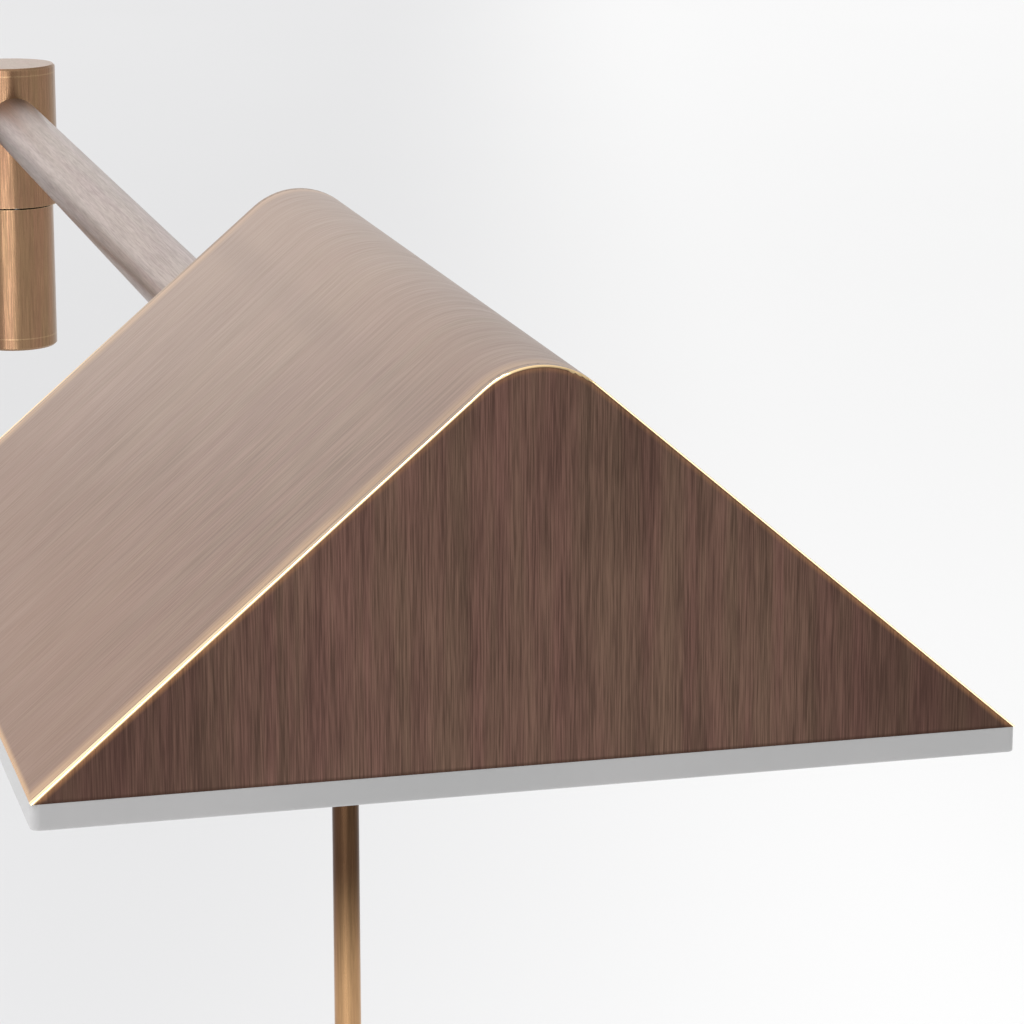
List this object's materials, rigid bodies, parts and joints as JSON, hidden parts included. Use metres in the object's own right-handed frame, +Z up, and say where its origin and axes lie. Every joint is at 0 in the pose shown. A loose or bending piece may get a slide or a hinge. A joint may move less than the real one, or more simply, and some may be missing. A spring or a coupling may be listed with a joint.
{
  "type": "picture light",
  "caption": "Wall-mounted swing-arm picture light: brushed antique brass tent-shaped head with an opal diffuser, in line with a long round arm on a vertical hub, and a pull rod below.",
  "frame": {"origin": "centre of the mounting plate's back face, on the wall", "axes": "+Z up; -Y out of the wall; at rest the arm is folded along the wall towards -X"},
  "size_m": [0.575, 0.16, 0.2029],
  "materials": {
    "antique_brass": "brushed, brown patina, edges polished through",
    "dark_brass": "brushed upright, dark brown patina",
    "raw_brass": "turned, unlacquered",
    "steel": "zinc plated",
    "opal": "satin opal acrylic",
    "aluminium": "mill finish",
    "white_board": "white solder mask",
    "led_yellow": "phosphor",
    "black_plastic": "fine moulded texture",
    "white_plastic": "moulded",
    "black_rubber": "matt",
    "grey_rubber": "matt",
    "lead_sheath": "smooth sheath"
  },
  "bodies": {
    "wall_bracket": {"wall_canopy": "antique_brass", "mounting_plate": "steel", "canopy_studs": "steel", "cap_nuts": "antique_brass", "wire_grommet": "black_rubber", "led_driver": "black_plastic", "driver_screws": "steel", "terminal_block": "white_plastic", "terminal_screw": "steel", "earth_screw": "raw_brass", "driver_lead": "lead_sheath", "stub_collar": "antique_brass", "stub_tube": "antique_brass", "stub_nipple": "raw_brass", "stub_nut": "raw_brass", "stub_lead": "lead_sheath", "lower_barrel": "antique_brass", "bottom_cap": "antique_brass", "pivot_bush": "black_plastic", "friction_washer": "black_plastic"},
    "arm": {"upper_barrel": "antique_brass", "top_cap": "antique_brass", "stop_pin": "steel", "spindle": "steel", "spring_washer": "steel", "spindle_nut": "steel", "arm_tube": "antique_brass", "arm_nipple": "raw_brass", "stop_washer": "steel", "swivel_spring": "steel", "swivel_nut": "raw_brass", "arm_lead": "lead_sheath"},
    "head": {"roof_shell": "antique_brass", "front_end_plate": "dark_brass", "rear_end_plate": "dark_brass", "diffuser": "opal", "corner_tabs": "raw_brass", "diffuser_screws": "antique_brass", "led_tray": "aluminium", "thermal_pads": "grey_rubber", "led_board": "white_board", "board_screws": "steel", "led_chips": "led_yellow", "switch_body": "black_plastic", "switch_screws": "steel", "rod_bush": "antique_brass", "rod_bush_nut": "raw_brass", "swivel_bush": "black_plastic", "turn_stops": "steel", "inner_washer": "black_plastic", "head_lead": "lead_sheath", "led_lead": "lead_sheath"},
    "pull": {"pull_rod": "antique_brass", "rod_head": "steel", "rod_knob": "antique_brass", "return_spring": "steel"}
  },
  "joints": [
    {"name": "arm_swing", "type": "hinge", "parent": "wall_bracket", "child": "arm", "pos_m": [0, -0.095, 0.0225], "axis": [0, 0, 1], "range_deg": [0, 180]},
    {"name": "head_turn", "type": "hinge", "parent": "arm", "child": "head", "pos_m": [-0.37, -0.095, 0.045], "axis": [1, 0, 0], "range_deg": [-90, 90]},
    {"name": "switch_pull", "type": "slide", "parent": "head", "child": "pull", "axis": [0, 0, -1], "range_m": [0, 0.006], "stiffness_N_per_m": 350, "springref_m": -0.004, "deforming": ["return_spring"]}
  ]
}
